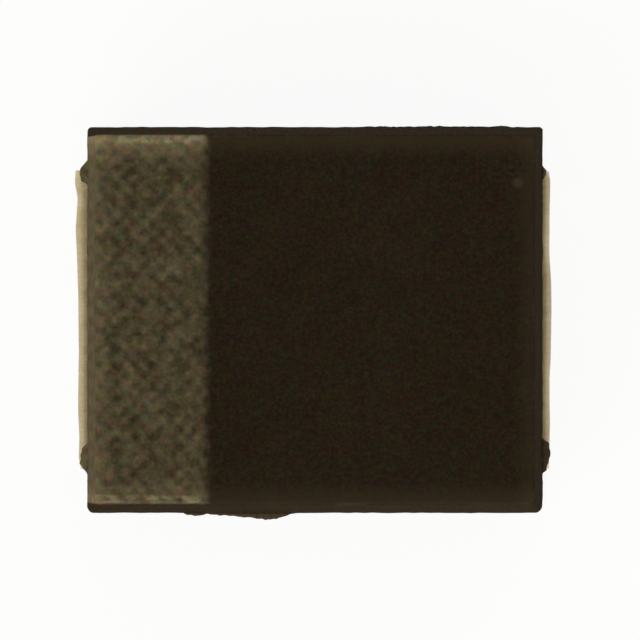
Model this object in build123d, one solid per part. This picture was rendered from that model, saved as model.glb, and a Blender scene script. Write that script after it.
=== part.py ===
from build123d import *
import math
import os

# Moulded chip tantalum capacitor, size 3528-21, all sizes in millimetres.
# Origin: middle of the footprint, on the board. +X: towards the cathode terminal.
# +Y: across the case. +Z: up. The polarity band is at the anode end, -X.

# Case, its length and width taken at the parting line
case_length = 3.34
case_width = 2.83
overall_height = 1.90
parting_height = 1.10
case_draft = 4.5
corner_radius = 0.045
edge_radius = 0.03

# Underside of the case: the middle is a pad for glue, lower than the part over the feet
foot_clearance = 0.01
glue_pad_drop = 0.05
glue_pad_width = 2.20
glue_pad_foot_gap = 0.09
glue_pad_slope = 30
ejector_radius = 0.42
ejector_depth = 0.015

# Polarity band, sunk by the laser that marks it
band_length = 0.877
band_depth = 0.012
band_side_margin = 0.01

# Gate stub on the -Y side, at the parting line
gate_middle_cover = 1.105
gate_root_length = 0.77
gate_tip_length = 0.26
gate_tip_offset = 0.20
gate_reach = 0.05
gate_height = 0.16
gate_root_depth = 0.08

# Resin flash at the four corners where the terminals leave the case
flash_beside_lead = 0.07
flash_over_lead = 0.10
flash_reach = 0.055
flash_above_lead = 0.025
flash_below_lead_top = 0.07

# Terminals, folded from sheet
lead_thickness = 0.10
bend_radius = 0.05
terminal_width = 2.20
terminal_reach = 0.07
foot_length = 0.80
seat_side_clearance = 0.02
seat_end_clearance = 0.01
neck_cover = 0.19

# Anode weld tab
tab_width = 0.90
tab_drop = 0.18
tab_step_angle = 60
tab_step_cover = 0.20
tab_washer_gap = 0.08

# Cathode cradle
cradle_width = 1.60
cradle_end_wall = 0.34
cradle_length = 0.93
lock_slot_length = 0.70
lock_slot_width = 0.08

# Resin left round the pellet
side_wall = 0.315
top_wall = 0.28
floor_wall = 0.18

# Anode wire and washer
wire_diameter = 0.24
wire_end_wall = 0.37
wire_end_cover = 0.56
weld_sink = 0.02
washer_diameter = 0.70
washer_thickness = 0.10

# Pellet and its coats
anode_room = 0.83
pellet_edge_radius = 0.08
manganese_thickness = 0.04
graphite_thickness = 0.02
silver_thickness = 0.03
graphite_setback = 0.10
silver_setback = 0.22
adhesive_thickness = 0.03
adhesive_rise = 0.40
adhesive_tip_gap = 0.06

# Places that follow from the sizes above
case_end = case_length / 2
case_side = case_width / 2
terminal_end = case_end + terminal_reach
leg_middle = terminal_end - lead_thickness / 2
exit_middle = parting_height - lead_thickness / 2
foot_middle = lead_thickness / 2
base_height = lead_thickness + foot_clearance
lead_seat = terminal_end - lead_thickness - bend_radius - seat_end_clearance
bend_middle_radius = bend_radius + lead_thickness / 2
foot_tip = terminal_end - foot_length

cradle_top = base_height + floor_wall + lead_thickness
cradle_leg_face = case_end - cradle_end_wall - lead_thickness
stack_bottom = cradle_top + adhesive_thickness
stack_end = cradle_leg_face - adhesive_thickness
cradle_tip = stack_end - cradle_length
tab_top = parting_height - tab_drop
wire_radius = wire_diameter / 2
wire_height = tab_top + wire_radius - weld_sink
stack_half_height = min(wire_height - stack_bottom, overall_height - top_wall - wire_height)
stack_low = wire_height - stack_half_height
stack_half_width = case_side - side_wall
all_coats = manganese_thickness + graphite_thickness + silver_thickness
pellet_face = anode_room - case_end
pellet_end = stack_end - all_coats


def block(x, y, z):
    """Box between two corners, each axis given as its low and high value."""
    size = [high - low for low, high in (x, y, z)]
    middle = [(high + low) / 2 for low, high in (x, y, z)]
    return Pos(*middle) * Box(*size)


def drafted_half(height_from, height_to):
    """One half of the moulded body, from the parting line to its flat top or bottom."""
    rise = abs(height_to - height_from)
    inset = rise * math.tan(math.radians(case_draft))
    wide = Pos(0, 0, height_from) * Rectangle(case_length, case_width)
    narrow = Pos(0, 0, height_to) * Rectangle(case_length - 2 * inset, case_width - 2 * inset)
    half = loft([wide, narrow])
    upright = [e for e in half.edges() if e.bounding_box().size.Z > rise / 2]
    half = fillet(upright, corner_radius)
    flat = half.faces().sort_by(Axis.Z)[-1 if height_to > height_from else 0]
    return fillet(flat.edges(), edge_radius)


def glue_pad():
    """Pad with sloping sides between the two feet, with the ejector pin's round mark."""
    half_length = foot_tip - glue_pad_foot_gap
    half_width = glue_pad_width / 2
    slope = glue_pad_drop * math.tan(math.radians(glue_pad_slope))
    height = base_height - glue_pad_drop
    root = Pos(0, 0, base_height) * Rectangle(2 * half_length, 2 * half_width)
    tip = Pos(0, 0, height) * Rectangle(2 * (half_length - slope), 2 * (half_width - slope))
    mark = Pos(0, 0, height) * Cylinder(ejector_radius, 2 * ejector_depth)
    body_side = (base_height, base_height + glue_pad_drop)
    overlap = block((-half_length, half_length), (-half_width, half_width), body_side)
    return loft([root, tip]) + overlap - mark


def gate_stub():
    """Broken stub of the moulding gate, an uneven low wedge at the parting line."""
    root_middle = gate_middle_cover - case_end
    tip_middle = root_middle + gate_tip_offset
    root = gate_root_length / 2
    tip = gate_tip_length / 2
    buried = gate_root_depth - case_side
    reach = -case_side - gate_reach
    outline = Polyline(
        (root_middle - root, buried),
        (root_middle + root, buried),
        (root_middle + root, -case_side),
        (tip_middle + tip, reach),
        (tip_middle - tip, reach),
        (root_middle - root, -case_side),
        close=True,
    )
    low = parting_height - gate_height / 2
    return Pos(0, 0, low) * extrude(make_face(outline), gate_height)


def corner_flash(end, side):
    """Thin resin that crept round one edge of a terminal as it left the mould."""
    lead_edge = terminal_width / 2
    outside = lead_edge + flash_beside_lead
    inside = lead_edge - flash_over_lead
    outline = Polyline(
        (case_end - flash_reach, outside),
        (case_end, outside),
        (case_end + flash_reach, lead_edge),
        (case_end + flash_reach, (lead_edge + inside) / 2),
        (case_end, inside),
        (case_end - flash_reach, inside),
        close=True,
    )
    low = parting_height - flash_below_lead_top
    piece = extrude(make_face(outline), flash_below_lead_top + flash_above_lead)
    piece = Pos(0, 0, low) * piece
    if end < 0:
        piece = mirror(piece, Plane.YZ)
    if side < 0:
        piece = mirror(piece, Plane.XZ)
    return piece


def lead_seat_cut(end):
    """Pocket in the lower half's end, where the terminal turns down."""
    half = terminal_width / 2 + seat_side_clearance
    reach = sorted((end * lead_seat, end * case_length))
    return block(reach, (-half, half), (0, parting_height))


def polarity_band():
    """Strip of the top that the laser takes down, over the anode end."""
    inset = (overall_height - parting_height) * math.tan(math.radians(case_draft))
    half = case_side - inset - edge_radius - band_side_margin
    depths = (overall_height - band_depth, overall_height + band_depth)
    return block((-case_length, band_length - case_end), (-half, half), depths)


def side_line(route, away):
    """One face of a folded sheet: its middle line moved sideways, with each bend's own radius."""
    points = [Vector(*p) for p in route]
    runs = [(b - a).normalized() for a, b in zip(points, points[1:])]
    sides = [Vector(-run.Y, run.X) for run in runs]
    moved = [points[0] + sides[0] * away]
    radii = []
    for corner, before, after in zip(points[1:], sides, sides[1:]):
        between = (before + after).normalized()
        moved.append(corner + between * (away / between.dot(before)))
        turn = math.copysign(1, before.cross(after).Z)
        radii.append(bend_middle_radius - turn * away)
    moved.append(points[-1] + sides[-1] * away)
    return FilletPolyline(*moved, radius=radii)


def folded_sheet(route, width):
    """Sheet of the lead's thickness, bent along a route given as its middle line in X and Z."""
    left = side_line(route, lead_thickness / 2)
    right = side_line(route, -lead_thickness / 2)
    ends = [Line(left @ 0, right @ 0), Line(left @ 1, right @ 1)]
    edges = [e for line in (left, right, *ends) for e in line.edges()]
    return extrude(Plane.XZ * make_face(edges), width / 2, both=True)


def narrowed(sheet, end, width):
    """The sheet with its buried part, from its inner tip out to the neck, cut to a width."""
    span = sorted((0, end * (case_end - neck_cover)))
    heights = (base_height + foot_clearance, parting_height)
    for side in (-1, 1):
        sheet = sheet - block(span, sorted((side * width / 2, side * terminal_width)), heights)
    return sheet


def outer_route(end):
    """Exit, leg and foot of a terminal, from the leg's top round to the foot's tip."""
    return [
        (end * leg_middle, exit_middle),
        (end * leg_middle, foot_middle),
        (end * foot_tip, foot_middle),
    ]


def anode_terminal():
    """Folded lead whose inner end steps down to a weld tab, pressed in by the wire."""
    tab_middle = tab_top - lead_thickness / 2
    step_top = tab_step_cover - case_end
    step_foot = step_top + tab_drop / math.tan(math.radians(tab_step_angle))
    tip = pellet_face - washer_thickness - tab_washer_gap
    route = [(tip, tab_middle), (step_foot, tab_middle), (step_top, exit_middle)]
    sheet = folded_sheet(route + outer_route(-1), terminal_width)
    return narrowed(sheet, -1, tab_width) - anode_wire()


def cathode_terminal():
    """Folded lead whose inner end drops behind the pellet and runs under it as a cradle."""
    cradle_middle = cradle_top - lead_thickness / 2
    leg = cradle_leg_face + lead_thickness / 2
    route = [(cradle_tip, cradle_middle), (leg, cradle_middle), (leg, exit_middle)]
    sheet = folded_sheet(route + outer_route(1), terminal_width)
    slot = Box(lock_slot_width, lock_slot_length, lead_thickness)
    return narrowed(sheet, 1, cradle_width) - Pos(case_end - neck_cover, 0, exit_middle) * slot


def rod_along_x(radius, start, stop):
    """Round bar at the wire's height."""
    bar = Cylinder(radius, stop - start)
    return Pos((start + stop) / 2, 0, wire_height) * (Rot(0, 90, 0) * bar)


def anode_wire():
    """Tantalum wire, from over the weld tab to deep inside the pellet."""
    return rod_along_x(wire_radius, wire_end_wall - case_end, pellet_end - wire_end_cover)


def washer_disc():
    return rod_along_x(washer_diameter / 2, pellet_face - washer_thickness, pellet_face)


def wire_washer():
    return washer_disc() - anode_wire()


def pellet_block(coats, start, stop):
    """Filled bar of the pellet's section, thickened by the coats on it, between two X places."""
    missing = all_coats - coats
    half_width = stack_half_width - missing
    half_height = stack_half_height - missing
    outline = RectangleRounded(2 * half_height, 2 * half_width, pellet_edge_radius + coats)
    return Pos(start, 0, wire_height) * (Rot(0, 90, 0) * extrude(outline, stop - start))


def pellet_core():
    return pellet_block(0, pellet_face, pellet_end)


def manganese_block():
    coats = manganese_thickness
    return pellet_block(coats, pellet_face - coats, pellet_end + coats)


def graphite_block():
    coats = manganese_thickness + graphite_thickness
    return pellet_block(coats, pellet_face + graphite_setback, pellet_end + coats)


def silver_block():
    return pellet_block(all_coats, pellet_face + silver_setback, stack_end)


def anode_pellet():
    return pellet_core() - anode_wire()


def manganese_dioxide_coat():
    """Skin on all six faces of the pellet, up to the washer's rim."""
    return manganese_block() - pellet_core() - washer_disc()


def graphite_coat():
    """Skin on five faces, open at the wire's end."""
    return graphite_block() - manganese_block()


def silver_coat():
    """Outer skin on five faces, open at the wire's end and set further back."""
    return silver_block() - graphite_block()


def silver_adhesive():
    """Bead as wide as the cradle, under the pellet and some way up its end."""
    across = (-cradle_width / 2, cradle_width / 2)
    under = block((cradle_tip + adhesive_tip_gap, cradle_leg_face), across, (cradle_top, stack_low))
    behind = block((stack_end, cradle_leg_face), across, (cradle_top, stack_low + adhesive_rise))
    return under + behind - cathode_terminal() - silver_block()


def moulded_case():
    """Resin body round everything that it was moulded over."""
    body = drafted_half(parting_height, overall_height) + drafted_half(parting_height, base_height)
    body = body + glue_pad() + gate_stub()
    for end in (-1, 1):
        body = body - lead_seat_cut(end)
        for side in (-1, 1):
            body = body + corner_flash(end, side)
    body = body - polarity_band()
    body = body - (manganese_block() + graphite_block() + silver_block() + washer_disc() + anode_wire())
    return body - anode_terminal() - cathode_terminal() - silver_adhesive()


nodes = [
    moulded_case,
    anode_terminal,
    cathode_terminal,
    anode_wire,
    wire_washer,
    anode_pellet,
    manganese_dioxide_coat,
    graphite_coat,
    silver_coat,
    silver_adhesive,
]

os.makedirs("parts", exist_ok=True)
for node in nodes:
    piece = node()
    export_step(piece, f"parts/{node.__name__}.step")
    size = piece.bounding_box().size
    print(node.__name__, f"{piece.volume:.4f} mm3, {size.X:.3f} x {size.Y:.3f} x {size.Z:.3f} mm")
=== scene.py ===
import math

import bpy
import numpy as np
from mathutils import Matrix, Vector, noise


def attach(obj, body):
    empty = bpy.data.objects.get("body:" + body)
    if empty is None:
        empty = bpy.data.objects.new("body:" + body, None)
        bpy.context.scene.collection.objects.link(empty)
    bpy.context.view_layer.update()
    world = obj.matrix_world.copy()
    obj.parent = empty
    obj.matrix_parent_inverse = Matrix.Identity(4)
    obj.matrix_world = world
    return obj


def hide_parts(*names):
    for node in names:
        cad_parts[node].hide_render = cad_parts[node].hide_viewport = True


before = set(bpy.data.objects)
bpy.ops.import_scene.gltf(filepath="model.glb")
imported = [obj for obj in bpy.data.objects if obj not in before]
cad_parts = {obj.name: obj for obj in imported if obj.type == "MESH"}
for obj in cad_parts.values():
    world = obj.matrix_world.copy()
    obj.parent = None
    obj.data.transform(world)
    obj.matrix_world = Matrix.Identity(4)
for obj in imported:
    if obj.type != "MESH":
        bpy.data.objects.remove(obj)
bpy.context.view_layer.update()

# Moulded chip tantalum capacitor, size 3528-21. The origin is on the board under its middle,
# +X points to the cathode terminal and +Z up. Sizes are in millimetres until a mesh is made.
MM = 0.001

# Places nearer to each other than this are the same place
hair = 1e-6

# Guards a division by nothing
tiny = 1e-9

# Case
case_end = 1.67
case_side = 1.415
parting_height = 1.10
case_top = 1.90
case_base = 0.11
draft_slope = math.tan(math.radians(4.5))
corner_radius = 0.045
corner_radii = {(-1, 1): 0.026, (1, 1): 0.020, (-1, -1): 0.045, (1, -1): 0.058}
edge_radius = 0.03

# The draft pulls in only the outer part of the net, and moves its rim as a whole
rigid_rim = 0.05
shrink_from_x = 1.30
shrink_from_y = 1.20

# Net of the case: its steps, where they change, and how far out its flat parts go in X and Y
mark_step = 0.0105
top_step = 0.045
wall_step = 0.06
base_step = 0.08
pad_step = 0.03
ejector_step = 0.015
gate_step = 0.013
vent_step = 0.02
flash_step = 0.012
seat_step = 0.006
past_flash_step = 0.05
below_seam_step = 0.011
seam_step = 0.0045
above_seam_step = 0.008
seam_rows = (1.0, 1.20)
wall_foot = 0.17
wall_head = 1.84
ejector_margin = 0.03
mark_stop = -0.74
gate_start = -0.98
gate_stop = -0.12
vent_start = 0.34
flash_start = 0.86
flash_stop = 1.20
top_reach = (1.625, 1.374)
wall_reach = (1.57, 1.33)
base_reach = (1.6, 1.35)

# Grid lines in a rounded corner, as shares of its radius, and round an edge, in degrees
corner_lines = (1.0, 0.7, 0.35)
edge_angles = (90, 68, 45, 22, 0)

# Heights between which the flash and the gate stub rise out of the wall and fall back to it
flash_rise = (1.030, 1.048)
flash_fall = (1.106, 1.124)
gate_rise = (1.005, 1.05)
gate_fall = (1.14, 1.185)

# Ridge along the parting line, and how far from that line the ridge and the vents fade out
seam_height = 0.004
seam_fade = (0.003, 0.011)
vent_fade = (0.006, 0.02)

# Broken resin: how big its crumbs are, where in the noise they start, and how much of each reach they change
crumb = 0.03
crumb_start = 5
flash_roughness = 0.12
gate_roughness = 0.15
vent_roughness = 0.6
least_flash = 0.002

# Underside of the case
glue_pad_x = 0.85
glue_pad_y = 1.10
glue_pad_drop = 0.05
glue_pad_slope = 0.029
ejector_radius = 0.42
ejector_depth = 0.015
ejector_rim = 0.016

# Pocket in each end, behind the terminal's leg
seat_x = 1.58
seat_y = 1.12

# Laser mark at the anode end, hatched both ways at 45 degrees
band_x = -0.793
band_y = 1.312
band_depth = 0.012
hatch_pitch = 0.0926
hatch = 2 * math.pi / (hatch_pitch * math.sqrt(2))
hatch_relief = 0.0018

# Where the mark's relief fades out: at its inner edge, beside the long sides and at the end of the case
relief_edge = (band_x - 0.008, band_x + 0.008)
relief_side = (band_y - 0.006, band_y + 0.008)
relief_end = (-1.60, -1.575)
side_ragged_share = 0.3
carved_share = 0.8

# Layers of unevenness: how high each stands, how big its lumps are, and where in the noise it starts
mark_edge_layers = [(0.016, 0.05, 11), (0.008, 0.018, 12)]
mark_layers = [(0.0038, 0.045, 21), (0.0016, 0.018, 22)]
top_layers = [(0.0003, 0.06, 31)]
sheet_layers = [(0.0022, 0.16, 41), (0.0012, 0.05, 51)]
sheet_rim_layers = [(0.0025, 0.07, 61)]

# The mark as a finish: where it fades out, and the broken pale line along each of its ends
mark_edge = (band_x - 0.028, band_x + 0.068)
mark_rim = (1.352, 1.370)
mark_foot = (1.085, 1.11)
pale_line_start = (1.280, 1.312)
pale_line_stop = (1.336, 1.358)
pale_line_breaks = (0.42, 0.66)
near_end_shift = 0.012

# Rubbed strip over the parting line, where the flash was broken off, which is also painted glow along that
# line, and one pale spot on the top
scraped_glow_height = 1.12
scraped_glow_reach = 0.075
pale_spot = (1.483, 1.003)
pale_spot_radius = 0.065

# Terminals
lead_thickness = 0.10
lead_half_width = 1.10
lead_bend = 0.10
neck_x = 1.48
buried_height = 0.12
tab_half_width = 0.45
cradle_half_width = 0.80
slot_half_length = 0.35
slot_half_width = 0.04
wire_radius = 0.12
wire_height = 1.02
wire_start = 1.30
lead_edge_radius = 0.008
sharp_turn = 50

# Net of a folded sheet: its steps, closer where the wire lies and along the two edges
sheet_step = 0.045
across_step = 0.04
wire_step = 0.033
edge_strip = 0.012
edge_step = 0.004
bend_step = 7.5
fewest_bend_steps = 4
station_margin = 1e-3

# Heights that tell the parts of a folded sheet from each other
exit_zone = 0.9
below_exit = 0.8
tab_zone = (0.9, 1.0)
clear_of_foot = 0.2

# Where a leg's unevenness sets in, and how much of its stand the bend at its top takes
stand_x = (neck_x + 0.05, 1.62)
stand_z = (0.10, 0.45)
swell_x = (neck_x, 1.6)
swell_z = (0.10, 0.2)
leg_top = (0.9, 1.0)
top_share = 0.25
sheet_rim = (lead_half_width - 0.02, lead_half_width)

# Middle lines of the folded sheets, written for the +X side
exit_middle = parting_height - lead_thickness / 2
foot_middle = lead_thickness / 2
leg_middle = 1.69
foot_tip = 0.94
tab_tip = 1.02
tab_middle = 0.87
step_foot = 1.366
step_top = 1.47
cradle_tip = 0.27
cradle_middle = 0.34
cradle_leg = 1.28

# Outlines seen from above: place along the edge, then how far the edge stands out there
gate_outline = [
    (-0.97, 0.000), (-0.95, 0.011), (-0.89, 0.022), (-0.83, 0.015), (-0.79, 0.006),
    (-0.71, 0.018), (-0.67, 0.015), (-0.57, 0.028), (-0.45, 0.037), (-0.35, 0.050),
    (-0.27, 0.042), (-0.24, 0.031), (-0.21, 0.019), (-0.16, 0.003), (-0.13, 0.000),
]
vent_outline = [
    (0.35, 0.000), (0.41, 0.006), (0.60, 0.002), (0.85, 0.007), (1.20, 0.003), (1.41, 0.006), (1.45, 0.000),
]
flash_outlines = {
    (-1, 1): [(1.00, 0.0), (1.02, 0.045), (1.10, 0.058), (1.175, 0.0)],
    (-1, -1): [(0.91, 0.0), (0.94, 0.040), (1.06, 0.054), (1.13, 0.0)],
    (1, 1): [(1.03, 0.0), (1.06, 0.020), (1.10, 0.032), (1.13, 0.0)],
    (1, -1): [(0.87, 0.0), (0.90, 0.046), (0.99, 0.056), (1.05, 0.042), (1.105, 0.030), (1.125, 0.0)],
}
anode_face = [
    (-1.10, -0.035), (-1.07, -0.016), (-1.03, 0.000), (-0.87, -0.005), (-0.64, 0.005), (-0.22, -0.001),
    (0.13, 0.002), (0.42, 0.011), (0.66, 0.022), (0.90, 0.009), (1.01, 0.027), (1.10, 0.022),
]
cathode_face = [
    (-1.10, -0.060), (-1.05, -0.044), (-0.99, -0.016), (-0.70, -0.010), (-0.45, -0.016), (-0.28, -0.003),
    (0.05, 0.001), (0.25, 0.001), (0.36, -0.006), (0.51, -0.017), (0.80, -0.012), (1.04, -0.008),
    (1.10, -0.032),
]


def lines(*stops_and_steps):
    """Grid lines between stops. Each step is written between the two stops that it divides."""
    stops = stops_and_steps[::2]
    steps = stops_and_steps[1::2]
    found = [stops[0]]
    for start, stop, step in zip(stops, stops[1:], steps):
        count = max(1, round((stop - start) / step))
        found += [start + (stop - start) * (k + 1) / count for k in range(count)]
    return found


def with_rims(half, inner):
    """Grid lines over a face whose two edges are rounded, close together round the edges."""
    rim = [edge_radius * (1 - math.sin(math.radians(angle))) for angle in edge_angles]
    return [d - half for d in rim] + inner + [half - d for d in reversed(rim)]


def ripple(points, size, shift):
    """Smooth unevenness from -1 to 1 at each point, with lumps of about that size."""
    moved = Vector((shift, 3.7 * shift, -1.9 * shift))
    return np.array([noise.noise(Vector(p) / size + moved) for p in points])


def relief(points, layers, further=0):
    """Sum of layers of ripples, each as its height, the size of its lumps and its start in the noise."""
    return sum(height * ripple(points, size, start + further) for height, size, start in layers)


def ramp(values, low, high):
    """0 below low, 1 above high, and an even slope between."""
    return np.clip((values - low) / (high - low), 0, 1)


def outline(values, knots):
    places, heights = zip(*knots)
    return np.interp(values, places, heights)


class Skin:
    """Points and faces of a mesh while it is being made."""

    def __init__(self):
        self.points = []
        self.faces = []

    def add(self, points):
        first = len(self.points)
        self.points += points
        return list(range(first, len(self.points)))

    def grid(self, xs, ys, z, up):
        """Flat net of squares. Returns its outer loop, walked round from the corner at low X and Y."""
        rows = [self.add([(x, y, z) for y in ys]) for x in xs]
        for a, b in zip(rows, rows[1:]):
            for j in range(len(ys) - 1):
                square = (a[j], b[j], b[j + 1], a[j + 1])
                self.faces.append(square if up else square[::-1])
        south = [row[0] for row in rows[:-1]]
        east = rows[-1][:-1]
        north = [row[-1] for row in rows[:0:-1]]
        west = rows[0][:0:-1]
        return south + east + north + west

    def loop(self, south, east, north, west, z):
        """Loop of points round the case, each side given as its grid lines in rising order."""
        walk = [(x, -case_side, z) for x in south[:-1]]
        walk += [(case_end, y, z) for y in east[:-1]]
        walk += [(x, case_side, z) for x in north[:0:-1]]
        walk += [(-case_end, y, z) for y in west[:0:-1]]
        return self.add(walk)

    def between(self, upper, lower):
        """Squares between two loops of as many points."""
        ahead = upper[1:] + upper[:1], lower[1:] + lower[:1]
        self.faces += [(a, b, d, c) for a, b, c, d in zip(upper, lower, *ahead)]

    def way_round(self, index):
        """How far round the case a loop's point is, from 0 to 4 sides."""
        x, y, _ = self.points[index]
        along_x = (x + case_end) / (2 * case_end)
        along_y = (y + case_side) / (2 * case_side)
        if y <= -case_side and x < case_end:
            return along_x
        if x >= case_end and y < case_side:
            return 1 + along_y
        if y >= case_side and x > -case_end:
            return 3 - along_x
        return 4 - along_y

    def zipped(self, upper, lower):
        """Triangles between two loops whose numbers of points differ."""
        up_ways = [self.way_round(i) for i in upper] + [4]
        low_ways = [self.way_round(i) for i in lower] + [4]
        i, j = 0, 0
        while i < len(upper) or j < len(lower):
            here, below = upper[i % len(upper)], lower[j % len(lower)]
            if j >= len(lower) or (i < len(upper) and up_ways[i + 1] <= low_ways[j + 1]):
                i += 1
                self.faces.append((here, below, upper[i % len(upper)]))
            else:
                j += 1
                self.faces.append((here, below, lower[j % len(lower)]))


def made_piece(name, points, faces, finish, node, sharp_angle=40):
    """Mesh object in metres that rides on the body and stands for a CAD node."""
    mesh = bpy.data.meshes.new(name)
    mesh.from_pydata((np.asarray(points) * MM).tolist(), [], faces)
    mesh.validate()
    mesh.shade_smooth()
    mesh.set_sharp_from_angle(angle=math.radians(sharp_angle))
    mesh.materials.append(finish)
    piece = bpy.data.objects.new(name, mesh)
    bpy.context.scene.collection.objects.link(piece)
    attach(piece, "root")
    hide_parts(node)
    return piece


def mirrored(middle_step, *half):
    """Grid lines on both sides of the middle, from the stops and steps of one side."""
    other_half = [-v if k % 2 == 0 else v for k, v in enumerate(half)][::-1]
    return lines(*other_half, middle_step, *half)


def case_net():
    """Net of the case on a plain block: dense on the marked strip, the gate and the flash."""
    skin = Skin()
    top_x = lines(-top_reach[0], mark_step, mark_stop, top_step, top_reach[0])
    top_y = mirrored(mark_step, top_reach[1])
    top = skin.grid(with_rims(case_end, top_x), with_rims(case_side, top_y), case_top, up=True)

    corner = corner_radius * np.array(corner_lines)
    rim_x = [case_end - d for d in corner] + [case_end]
    rim_y = [case_side - d for d in corner] + [case_side]
    first_x = [-x for x in rim_x[::-1]]
    first_y = [-y for y in rim_y[::-1]]
    gate = [wall_step, gate_start, gate_step, gate_stop, wall_step]
    south = first_x + lines(-wall_reach[0], *gate, wall_reach[0]) + rim_x
    north = first_x + lines(-wall_reach[0], wall_step, vent_start, vent_step, wall_reach[0]) + rim_x
    seat = [seat_y - seat_step / 2, seat_step, seat_y + seat_step / 2]
    beside_lead = [flash_start, flash_step, *seat, flash_step, flash_stop, past_flash_step, wall_reach[1]]
    ends = first_y + mirrored(wall_step, *beside_lead) + rim_y
    seam = [below_seam_step, parting_height - seam_step, seam_step, parting_height, above_seam_step]
    heights = lines(wall_foot, wall_step, seam_rows[0], *seam, seam_rows[1], wall_step, wall_head)
    upper = None
    for z in heights[::-1]:
        ring = skin.loop(south, ends, north, ends, z)
        if upper is None:
            skin.zipped(top, ring)
        else:
            skin.between(upper, ring)
        upper = ring

    mark = ejector_radius + ejector_margin
    pad_x = [glue_pad_x - glue_pad_slope, pad_step, glue_pad_x]
    pad_y = [glue_pad_y - glue_pad_slope, pad_step, glue_pad_y]
    base_x = mirrored(ejector_step, mark, base_step, *pad_x, base_step, base_reach[0])
    base_y = mirrored(ejector_step, mark, base_step, *pad_y, base_step, *seat, base_step, base_reach[1])
    base = skin.grid(with_rims(case_end, base_x), with_rims(case_side, base_y), case_base, up=False)
    skin.zipped(upper, base)
    return np.array(skin.points), skin.faces


def case_shape(block):
    """Case skin from its net: rounded edges, draft, seats, pad, laser mark, gate and flash."""
    x, y, z = block.T.copy()
    side_x, side_y = np.sign(x), np.sign(y)
    x, y = abs(x), abs(y)
    on_top = z > case_top - hair
    on_base = z < case_base + hair
    on_end = (x > case_end - hair) & ~on_top & ~on_base
    on_long_side = (y > case_side - hair) & ~on_top & ~on_base & ~on_end

    inward = edge_radius - np.minimum(np.minimum(case_end - x, case_side - y), edge_radius)
    fall = edge_radius - np.sqrt(np.maximum(edge_radius**2 - inward**2, 0))
    z = z - fall * on_top + fall * on_base

    radius = np.select([(side_x == end) & (side_y == side) for end, side in corner_radii],
                       list(corner_radii.values()), corner_radius)
    over_x = np.maximum(x - (case_end - radius), 0)
    over_y = np.maximum(y - (case_side - radius), 0)
    pull = np.maximum(over_x, over_y) / np.maximum(np.hypot(over_x, over_y), tiny)
    x = np.where(over_x * over_y > 0, x - over_x * (1 - pull), x)
    y = np.where(over_x * over_y > 0, y - over_y * (1 - pull), y)

    inset = abs(z - parting_height) * draft_slope
    x = x - inset * ramp(x, shrink_from_x, case_end - rigid_rim)
    y = y - inset * ramp(y, shrink_from_y, case_side - rigid_rim)

    in_seat = (z < parting_height - hair) & (y < seat_y)
    x = np.where(in_seat, np.minimum(x, seat_x), x)

    rough = ripple(np.c_[side_x * x, side_y * y, z], crumb, crumb_start)
    above = ramp(z, *flash_rise) * (1 - ramp(z, *flash_fall))
    for (end, side), knots in flash_outlines.items():
        reach = outline(y, knots) * above * (1 + flash_roughness * rough)
        here = on_end & (side_x == end) & (side_y == side) & (reach > least_flash)
        x = np.where(here, case_end + reach, x)

    gate = outline(side_x * x, gate_outline) * ramp(z, *gate_rise) * (1 - ramp(z, *gate_fall))
    y = y + gate * (1 + gate_roughness * rough) * (on_long_side & (side_y < 0))
    off_seam = abs(z - parting_height)
    vent = outline(side_x * x, vent_outline) * (1 - ramp(off_seam, *vent_fade))
    y = y + vent * (1 + vent_roughness * rough) * (on_long_side & (side_y > 0))
    seam = seam_height * (1 + rough) * (1 - ramp(off_seam, *seam_fade))
    y = y + seam * on_long_side
    x = x + seam * on_end * ~in_seat

    slope = 1 - ramp(np.maximum(x - glue_pad_x, y - glue_pad_y), -glue_pad_slope, 0)
    z = z - glue_pad_drop * slope * on_base
    from_middle = np.hypot(x, y)
    past_mark = ramp(from_middle, ejector_radius - ejector_rim / 2, ejector_radius + ejector_rim / 2)
    z = z + ejector_depth * (1 - past_mark) * on_base

    x, y = side_x * x, side_y * y
    skin = np.c_[x, y, z]
    ragged = relief(skin, mark_edge_layers)
    marked = on_top * (1 - ramp(x + ragged, *relief_edge))
    within = 1 - ramp(abs(y) + side_ragged_share * ragged, *relief_side)
    marked = marked * within * ramp(x, *relief_end)
    lumps = relief(skin, mark_layers) + hatch_relief * np.cos(hatch * x) * np.cos(hatch * y)
    skin[:, 2] = z - marked * (band_depth * carved_share - lumps) + on_top * relief(skin, top_layers)
    return skin


def folded_line(corners, step):
    """Stations along a folded sheet's middle line: place, then the direction out of its outer face."""
    corners = [Vector(c) for c in corners]
    runs = [(b - a).normalized() for a, b in zip(corners, corners[1:])]
    places, ways = [], []

    def straight(start, stop, run):
        count = max(1, round((stop - start).length / step))
        for k in range(count + 1):
            place = start.lerp(stop, k / count)
            if not places or (place - places[-1]).length > hair:
                places.append(place)
                ways.append(Vector((-run.y, run.x)))

    start = corners[0]
    for corner, before, after in zip(corners[1:], runs, runs[1:]):
        turn = math.atan2(before.x * after.y - before.y * after.x, before.dot(after))
        reach = lead_bend * math.tan(abs(turn) / 2)
        straight(start, corner - before * reach, before)
        side = math.copysign(1, turn)
        out = Vector((-before.y, before.x))
        centre = corner - before * reach + out * (side * lead_bend)
        count = max(fewest_bend_steps, round(abs(math.degrees(turn)) / bend_step))
        for k in range(1, count + 1):
            angle = turn * k / count
            turned = Vector((out.x * math.cos(angle) - out.y * math.sin(angle),
                             out.x * math.sin(angle) + out.y * math.cos(angle)))
            places.append(centre - turned * (side * lead_bend))
            ways.append(turned)
        start = places[-1]
    straight(start, corners[-1], runs[-1])
    return places, ways


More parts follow.
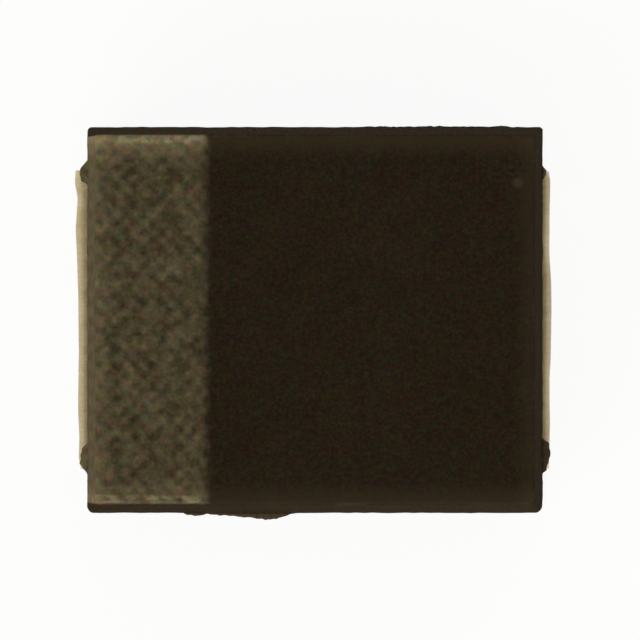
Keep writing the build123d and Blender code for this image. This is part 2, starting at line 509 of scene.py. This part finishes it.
def with_stations(places, ways, wanted):
    """The same line with a station at each wanted X of its buried part."""
    for x in wanted:
        for k, (a, b) in enumerate(zip(places, places[1:])):
            share = (x - a.x) / (b.x - a.x) if abs(b.x - a.x) > tiny else -1
            if a.y > exit_zone and b.y > below_exit and station_margin < share < 1 - station_margin:
                places.insert(k + 1, a.lerp(b, share))
                ways.insert(k + 1, ways[k].lerp(ways[k + 1], share).normalized())
                break
    return places, ways


def lead_sheet(corners, inner_half_width, face_knots, slotted, end):
    """Folded terminal on the +X side, turned over for the other end: points and faces."""
    wanted = [neck_x, neck_x - slot_half_width, neck_x + slot_half_width] if slotted else [neck_x]
    places, ways = with_stations(*folded_line(corners, sheet_step), wanted)
    outer = [inner_half_width, across_step, lead_half_width - edge_strip, edge_step, lead_half_width]
    inner = [0, wire_step, 2 * wire_step, across_step, slot_half_length, across_step]
    right = lines(*inner, *outer)
    ys = [-y for y in right[:0:-1]] + right
    kept = []
    for k, (a, b) in enumerate(zip(places, places[1:])):
        middle = (a + b) / 2
        buried = middle.x < neck_x and middle.y > buried_height
        half = inner_half_width if buried else lead_half_width
        in_slot = slotted and abs(middle.x - neck_x) < slot_half_width and middle.y > exit_zone
        for j in range(len(ys) - 1):
            across = abs(ys[j] + ys[j + 1]) / 2
            if across < half and not (in_slot and across < slot_half_length):
                kept.append((k, j))
    number, points, sides = {}, [], []

    def corner(k, j, side):
        if (k, j, side) not in number:
            number[k, j, side] = len(points)
            shift = ways[k] * (side * lead_thickness / 2)
            points.append((places[k].x + shift.x, ys[j], places[k].y + shift.y))
            sides.append((ways[k].x, ways[k].y, side))
        return number[k, j, side]

    cells, faces = set(kept), []
    for k, j in kept:
        square = [(k, j), (k + 1, j), (k + 1, j + 1), (k, j + 1)]
        faces.append([corner(*c, 1) for c in square])
        faces.append([corner(*c, -1) for c in square[::-1]])
        beside = [(k, j - 1), (k + 1, j), (k, j + 1), (k - 1, j)]
        for (a, b), other in zip(zip(square, square[1:] + square[:1]), beside):
            if other not in cells:
                faces.append([corner(*a, 1), corner(*a, -1), corner(*b, -1), corner(*b, 1)])
    points, sides = np.array(points), np.array(sides)
    x, y, z = points.T
    free = ramp(x, *stand_x) * ramp(z, *stand_z)
    stand = outline(y, face_knots) * free
    swell = relief(points, sheet_layers, end) * ramp(z, *swell_z) * ramp(x, *swell_x)
    x = x + (stand + swell) * sides[:, 0]
    z = z + (top_share * stand * ramp(z, *leg_top) + swell) * sides[:, 1] * (z > clear_of_foot)
    y = y + relief(points, sheet_rim_layers, end) * ramp(abs(y), *sheet_rim)
    groove = wire_height - np.sqrt(np.maximum(wire_radius**2 - y**2, 0))
    on_tab = (x < wire_start) & (z > tab_zone[0]) & (z < tab_zone[1])
    under_wire = on_tab & (abs(y) < wire_radius) & (not slotted)
    z = np.where(under_wire, np.minimum(z, groove), z)
    points = np.c_[end * x, y, z]
    if end < 0:
        faces = [face[::-1] for face in faces]
    return points, faces


class Wire:
    """A node's output that can stand in a sum: each operator adds the Math node that it means."""

    def __init__(self, finish, socket):
        self.finish = finish
        self.socket = socket

    def sum(self, operation, first, second):
        return self.finish.node("ShaderNodeMath", {"operation": operation}, {0: first, 1: second})

    def __add__(self, other):
        return self.sum("ADD", self, other)

    def __radd__(self, other):
        return self.sum("ADD", other, self)

    def __sub__(self, other):
        return self.sum("SUBTRACT", self, other)

    def __rsub__(self, other):
        return self.sum("SUBTRACT", other, self)

    def __mul__(self, other):
        return self.sum("MULTIPLY", self, other)

    def __rmul__(self, other):
        return self.sum("MULTIPLY", other, self)

    def __abs__(self):
        return self.sum("ABSOLUTE", self, 0)

    def wave(self):
        return self.sum("COSINE", self, 0)


class Finish:
    """A material while its nodes are put in."""

    def __init__(self, name, tree=None):
        if tree is None:
            self.material = bpy.data.materials.new(name)
            self.material.use_nodes = True
            tree = self.material.node_tree
        self.tree = tree
        self.tree.nodes.clear()

    def node(self, kind, settings, sockets, output=0):
        """Adds a node: its settings are set first, then each socket gets its value or its link."""
        made = self.tree.nodes.new(kind)
        for name, value in settings.items():
            setattr(made, name, value)
        for name, value in sockets.items():
            if isinstance(value, Wire):
                self.tree.links.new(value.socket, made.inputs[name])
            elif isinstance(value, tuple) and len(value) == 3 and len(made.inputs[name].default_value) == 4:
                made.inputs[name].default_value = (*value, 1)
            else:
                made.inputs[name].default_value = value
        return Wire(self, made.outputs[output]) if made.outputs else made

    def place(self):
        """Where a point is on the object, in millimetres."""
        metres = self.node("ShaderNodeTexCoord", {}, {}, "Object")
        return self.node("ShaderNodeVectorMath", {"operation": "SCALE"}, {0: metres, "Scale": 1 / MM})

    def axes(self, place):
        split = self.node("ShaderNodeSeparateXYZ", {}, {0: place})
        return [Wire(self, s) for s in split.socket.node.outputs]

    def noise(self, place, size, detail=2.0, roughness=0.5, output=0):
        """Cloudy pattern whose lumps are about that many millimetres."""
        sockets = {"Vector": place, "Scale": 1 / size, "Detail": detail, "Roughness": roughness}
        return self.node("ShaderNodeTexNoise", {}, sockets, output)

    def stretched(self, place, x, y, z):
        return self.node("ShaderNodeVectorMath", {"operation": "MULTIPLY"}, {0: place, 1: (x, y, z)})

    def step(self, value, low, high):
        """0 below low, 1 above high, smooth between."""
        sockets = {"Value": value, "From Min": low, "From Max": high}
        return self.node("ShaderNodeMapRange", {"interpolation_type": "SMOOTHSTEP"}, sockets)

    def mix(self, share, first, second, blend="MIX"):
        settings = {"data_type": "RGBA", "blend_type": blend}
        return self.node("ShaderNodeMix", settings, {0: share, 6: first, 7: second}, 2)

    def bump(self, height, depth, under=None):
        """Relief of that many millimetres, over another one where there is one."""
        sockets = {"Height": height, "Distance": depth * MM}
        if under is not None:
            sockets["Normal"] = under
        return self.node("ShaderNodeBump", {}, sockets)

    def done(self, sockets):
        shader = self.node("ShaderNodeBsdfPrincipled", {}, sockets)
        self.node("ShaderNodeOutputMaterial", {}, {"Surface": shader})
        return self.material


# Where the resin's finish changes, then its tones
top_rim = (1.872, 1.890)
worn_edge = (1.893, 1.8985)
# The top is painted paler near its rims: painted glow of the bright surroundings
glow_rim_x = (1.44, 1.62)
glow_rim_y = (1.15, 1.38)
gate_break = (case_side + 0.006, case_side + 0.018)
flash_break = (case_end + 0.004, case_end + 0.020)
side_wall_y = (1.343, 1.351)
side_wall_z = (1.83, 1.865)
across_middle = (-0.1, 0.1)
# The mark is painted paler near the long sides and at the end of the case: painted glow of the bright
# surroundings
mark_glow_side = (1.12, 1.34)
mark_glow_end = (-1.64, -1.45)
resin_dark = (0.0130, 0.0092, 0.0048)
resin_pale = (0.0235, 0.0168, 0.0098)
glow_rim_tone = (0.036, 0.026, 0.0145)
# The walls are painted paler than the top: painted sheen in place of the grazing reflection of the bright
# surroundings
wall_sheen_dark = (0.018, 0.0125, 0.0060)
wall_sheen_pale = (0.036, 0.0255, 0.0130)
rubbed_and_glow_tone = (0.088, 0.068, 0.042)
thin_resin_tone = (0.105, 0.078, 0.042)
broken_resin_tone = (0.080, 0.060, 0.036)
mark_dark = (0.013, 0.0105, 0.0045)
mark_pale = (0.225, 0.184, 0.104)


def moulded_resin():
    """Dark brown filled epoxy, spark-eroded by its mould, with the paler strip that the laser leaves.
    Painted glow brightens the top near its rims, the parting line, and the mark near the long sides and the
    end of the case. Painted sheen brightens the walls.
    """
    f = Finish("moulded_resin")
    place = f.place()
    x, y, z = f.axes(place)
    across = abs(y)
    cloud = f.noise(place, 0.30, 3)
    speck = f.noise(place, 0.024, 2, 0.6)
    streaks = f.noise(f.stretched(place, 1, 1, 0.25), 0.035, 2, 0.5)
    grit = f.noise(place, 0.04, 1)
    tint = f.noise(place, 0.045, 1, 0.4, output=1)

    on_top = f.step(z, *top_rim)
    # Painted glow: paler tone on the top near its rims
    glow_near_rim = on_top * (0.5 * f.step(abs(x), *glow_rim_x) + 0.75 * f.step(across, *glow_rim_y))
    edge = on_top * (1 - f.step(z, *worn_edge))
    worn = edge * f.step(cloud + 0.5 * speck - 0.25, 0.50, 0.75)
    # Pale strip over the parting line: wear where the flash was broken off, and painted glow along that line
    scraped_and_glow = (1 - f.step(abs(z - scraped_glow_height), 0.0, scraped_glow_reach)) * f.step(streaks, 0.30, 0.75)
    broken = f.step(-1 * y, *gate_break)
    thin = f.step(abs(x), *flash_break)
    off_x, off_y = x - pale_spot[0], y - pale_spot[1]
    spot = 1 - f.step(off_x * off_x + off_y * off_y + 0.002 * grit, 0.0, pale_spot_radius**2)
    tone = f.step(speck + 0.3 * cloud - 0.15, 0.25, 0.8)
    resin = f.mix(tone, resin_dark, resin_pale)
    resin = f.mix(0.45, resin, tint, "OVERLAY")
    resin = f.mix(glow_near_rim, resin, glow_rim_tone)
    # Painted sheen: paler tones on the walls than on the top
    resin = f.mix(1 - on_top, resin, f.mix(tone, wall_sheen_dark, wall_sheen_pale))
    resin = f.mix(0.30 * worn + 0.32 * scraped_and_glow + 0.3 * spot, resin, rubbed_and_glow_tone)
    resin = f.mix(thin * (0.45 + 0.55 * f.step(y, 0.0, 0.5)), resin, thin_resin_tone)
    resin = f.mix(broken * speck, resin, broken_resin_tone)

    grain = f.noise(place, 0.062, 1, 0.45)
    dots = f.noise(place, 0.023, 3, 0.6)
    patches = f.noise(place, 0.16, 2)
    wobble = f.noise(place, 0.05, 2)
    shade = f.noise(place, 0.056, 1, 0.4, output=1)
    along = 1 - f.step(x + 0.05 * wobble, *mark_edge)
    far_side = f.step(y, *across_middle)
    to_rim = across + near_end_shift * (1 - far_side)
    aside = 1 - f.step(to_rim + 0.012 * wobble, *mark_rim)
    below = f.step(across, *side_wall_y) * (1 - f.step(z, *side_wall_z))
    marked = along * aside * (1 - below) * f.step(z, *mark_foot)
    hatched = (hatch * x + 0.8 * wobble).wave() * (hatch * y + 0.8 * patches).wave()
    blotches = f.step(f.noise(place, 0.075, 2), *pale_line_breaks)
    dashes = f.step(f.noise(f.stretched(place, 0.45, 1, 1), 0.05, 2), *pale_line_breaks)
    broken_up = 0.15 + 2.3 * far_side * blotches + 1.6 * (1 - far_side) * dashes
    end_line = f.step(to_rim, *pale_line_start) * (1 - f.step(to_rim, *pale_line_stop)) * broken_up
    # Painted glow: paler mark near the long sides and at the end of the case
    painted_glow = (0.22 + 0.2 * far_side) * f.step(across, *mark_glow_side) + 0.26 * (1 - f.step(x, *mark_glow_end))
    uneven = 0.60 * grain + 0.38 * dots + 0.32 * patches - 0.65
    burnt_and_glow = 0.12 + 0.07 * hatched + uneven + painted_glow + 0.42 * end_line
    mark = f.mix(f.step(burnt_and_glow, -0.40, 1.30), mark_dark, mark_pale)
    mark = f.mix(0.34, mark, shade, "OVERLAY")
    return f.done({
        "Base Color": f.mix(marked, resin, mark),
        "Roughness": 0.95 - 0.22 * on_top + 0.04 * cloud,
        "Normal": f.bump(grain * marked, 0.005, f.bump(speck * (1.8 - 0.8 * on_top), 0.005)),
        "Specular IOR Level": 0.02,
        "Specular Tint": (1.0, 0.80, 0.58),
    })


# Where the tin's finish changes, then its tones
upper_bend = (0.90, 1.02)
lower_bend = (0.06, 0.18)
# Near the case the tin is painted darker: painted shade and the painted reflection of the dark case
shade_foot = (1.02, 1.06)
shade_end = (1.655, 1.735)
cut_edge = (lead_half_width - 0.008, lead_half_width - 0.002)
# The cathode's upper bend is painted darker: painted shade, as the light comes from the anode side
between_ends = (-0.2, 0.2)
tin_clean = (0.64, 0.570, 0.430)
tin_dull = (0.54, 0.465, 0.330)
bend_clean = (0.59, 0.490, 0.290)
bend_dull = (0.51, 0.415, 0.235)
drawn_tone = (0.42, 0.345, 0.200)
blot_tone = (0.38, 0.300, 0.165)
crystal_tone = (0.72, 0.62, 0.41)
cathode_bend_shade = (0.25, 0.187, 0.095)
painted_shade_tone = (0.13, 0.095, 0.052)
cut_tone = (0.40, 0.30, 0.21)


def tinned_sheet():
    """Matt tin plate on the folded leads, duller where it was handled, bare where it was cut, with painted
    shade near the case and on the cathode's upper bend.
    """
    f = Finish("tinned_sheet")
    place = f.place()
    x, y, z = f.axes(place)
    cloud = f.noise(place, 0.45, 2, 0.5)
    blots = f.noise(place, 0.13, 2, 0.5)
    crystals = f.noise(place, 0.022, 2, 0.6)
    drawn = f.noise(f.stretched(place, 1, 16, 1), 0.22, 3, 0.6)
    dull = f.step(cloud, 0.30, 0.75)
    on_bend = f.step(z, *upper_bend)
    bent = on_bend + (1 - f.step(z, *lower_bend))
    cut = f.step(abs(y), *cut_edge)
    # Painted shade and reflection of the dark case on the tin near the case, broken up by blots
    shade_beside_case = f.step(z, *shade_foot) * (1 - f.step(abs(x), *shade_end)) * (0.5 + 0.8 * blots)
    tin = f.mix(dull, tin_clean, tin_dull)
    tin = f.mix(on_bend, tin, f.mix(dull, bend_clean, bend_dull))
    tin = f.mix(0.45 * f.step(drawn, 0.35, 0.70), tin, drawn_tone)
    tin = f.mix((0.15 + 0.30 * bent) * f.step(blots, 0.45, 0.70), tin, blot_tone)
    tin = f.mix(0.30 * f.step(crystals, 0.45, 0.75), tin, crystal_tone)
    # Painted shade: darker upper bend on the cathode lead
    tin = f.mix(0.38 * on_bend * f.step(x, *between_ends), tin, cathode_bend_shade)
    tin = f.mix(0.8 * shade_beside_case, tin, painted_shade_tone)
    metal = f.mix(0.6 * cut, tin, cut_tone)
    normal = f.bump(crystals, 0.0032, f.bump(drawn, 0.0022))
    return f.done({
        "Base Color": metal,
        "Metallic": 1.0,
        "Roughness": 0.24 + 0.12 * dull + 0.14 * drawn + 0.08 * bent,
        "Normal": normal,
    })


def buried_finish(name, dark, pale, size, metallic, rough, depth, stretch=(1, 1, 1)):
    """Finish of a piece inside the case: two tones in lumps of one size, with their relief."""
    f = Finish(name)
    place = f.stretched(f.place(), *stretch)
    lumps = f.noise(place, size, 3, 0.6)
    cloud = f.noise(place, size * 7, 2)
    share = f.step(lumps + 0.4 * cloud - 0.2, 0.32, 0.70)
    return f.done({
        "Base Color": f.mix(share, dark, pale),
        "Metallic": metallic,
        "Roughness": rough + 0.15 * lumps,
        "Normal": f.bump(lumps, depth),
    })


# For each node: the finish, its dark and pale tones, lump size, metallic, roughness, relief and stretch
buried_finishes = {
    "anode_pellet": ("sintered_tantalum", (0.055, 0.055, 0.06), (0.17, 0.17, 0.18), 0.012, 0.7, 0.6, 0.004),
    "anode_wire": (
        "drawn_tantalum", (0.22, 0.22, 0.24), (0.42, 0.42, 0.45), 0.02, 1.0, 0.3, 0.001, (0.06, 1, 1),
    ),
    "wire_washer": ("fluoropolymer", (0.74, 0.75, 0.76), (0.86, 0.87, 0.87), 0.03, 0.0, 0.35, 0.001),
    "manganese_dioxide_coat": (
        "manganese_dioxide", (0.008, 0.008, 0.009), (0.03, 0.028, 0.027), 0.02, 0.0, 0.7, 0.004,
    ),
    "graphite_coat": ("graphite", (0.02, 0.02, 0.022), (0.07, 0.07, 0.075), 0.025, 0.2, 0.45, 0.002),
    "silver_coat": ("silver_paint", (0.38, 0.38, 0.37), (0.68, 0.67, 0.64), 0.012, 0.8, 0.4, 0.002),
    "silver_adhesive": ("silver_adhesive", (0.30, 0.30, 0.29), (0.58, 0.57, 0.54), 0.016, 0.6, 0.5, 0.004),
}
for node, recipe in buried_finishes.items():
    buried = buried_finish(*recipe)
    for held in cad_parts[node].material_slots:
        held.material = buried

net, case_faces = case_net()
made_piece("resin_case", case_shape(net), case_faces, moulded_resin(), "moulded_case")

tin = tinned_sheet()
outside = [(leg_middle, exit_middle), (leg_middle, foot_middle), (foot_tip, foot_middle)]
tab_route = [(tab_tip, tab_middle), (step_foot, tab_middle), (step_top, exit_middle)]
cradle_route = [(cradle_tip, cradle_middle), (cradle_leg, cradle_middle), (cradle_leg, exit_middle)]
anode_sheet = lead_sheet(tab_route + outside, tab_half_width, anode_face, False, -1)
cathode_sheet = lead_sheet(cradle_route + outside, cradle_half_width, cathode_face, True, 1)
leads = [
    ("anode_lead", anode_sheet, "anode_terminal"),
    ("cathode_lead", cathode_sheet, "cathode_terminal"),
]
for name, (points, faces), node in leads:
    lead = made_piece(name, points, faces, tin, node, sharp_turn)
    edges = lead.modifiers.new("soft_edges", "BEVEL")
    edges.width = lead_edge_radius * MM
    edges.segments = 2
    edges.limit_method = "ANGLE"
    edges.angle_limit = math.radians(sharp_turn)
    edges.loop_slide = False


def white_behind(f, lit, strength):
    """Mixes a shader with plain white for what the camera, metal and glass see of the background."""
    path = f.node("ShaderNodeLightPath", {}, {}, "Is Camera Ray")
    rays = {s.name: Wire(f, s) for s in path.socket.node.outputs}
    seen = rays["Is Camera Ray"] + rays["Is Glossy Ray"] + rays["Is Transmission Ray"]
    white = f.node("ShaderNodeEmission", {}, {"Color": (1, 1, 1), "Strength": 1.0})
    return f.node("ShaderNodeMixShader", {}, {0: seen * strength, 1: lit, 2: white})


def floor_finish():
    f = Finish("pale_floor")
    lit = f.node("ShaderNodeBsdfDiffuse", {}, {"Color": (0.94, 0.93, 0.91)})
    f.node("ShaderNodeOutputMaterial", {}, {"Surface": white_behind(f, lit, 0.92)})
    return f.material


# Square floor, in metres, a hair under the feet
floor_reach = 0.2
floor_level = -1e-6
floor_corners = [(-1, -1), (1, -1), (1, 1), (-1, 1)]
floor_points = [(x * floor_reach, y * floor_reach, floor_level) for x, y in floor_corners]
floor_mesh = bpy.data.meshes.new("floor")
floor_mesh.from_pydata(floor_points, [], [(0, 1, 2, 3)])
floor_mesh.materials.append(floor_finish())
floor = bpy.data.objects.new("floor", floor_mesh)
bpy.context.scene.collection.objects.link(floor)

world = bpy.data.worlds.new("soft_room")
world.use_nodes = True
bpy.context.scene.world = world
room = Finish("soft_room", world.node_tree)
dim = room.node("ShaderNodeBackground", {}, {"Color": (1.0, 0.96, 0.90), "Strength": 0.5})
room.node("ShaderNodeOutputWorld", {}, {"Surface": dim})


def softbox(name, place, size, level, colour):
    """Area lamp aimed at the case. Level 1 alone lights a white surface that faces it to full white."""
    data = bpy.data.lights.new(name, "AREA")
    data.size = size * MM
    data.energy = level * math.pi**2 * (Vector(place).length * MM) ** 2
    data.color = colour
    lamp = bpy.data.objects.new(name, data)
    lamp.location = Vector(place) * MM
    lamp.rotation_euler = Vector(place).to_track_quat("Z", "Y").to_euler()
    lamp.visible_camera = False
    bpy.context.scene.collection.objects.link(lamp)


softbox("key", (-35, -40, 60), 50, 0.45, (1.0, 0.96, 0.90))
softbox("fill", (15, -60, 16), 60, 0.25, (1.0, 0.97, 0.93))
softbox("back", (10, 55, 45), 60, 0.2, (1.0, 0.97, 0.93))

# The camera looks straight down through a long lens. The picture has this scale at the parting line.
picture_width = 640
pixels_per_mm = 136
picture_middle = 0.037
frame_width = picture_width / pixels_per_mm
camera_data = bpy.data.cameras.new("camera")
camera_data.lens = 1000
camera_data.clip_start = 1 * MM
camera_data.clip_end = 400 * MM
away = frame_width * camera_data.lens / camera_data.sensor_width
camera = bpy.data.objects.new("camera", camera_data)
camera.location = (picture_middle * MM, 0.0, (parting_height + away) * MM)
bpy.context.scene.collection.objects.link(camera)
bpy.context.scene.camera = camera
bpy.context.scene.view_settings.view_transform = "Standard"
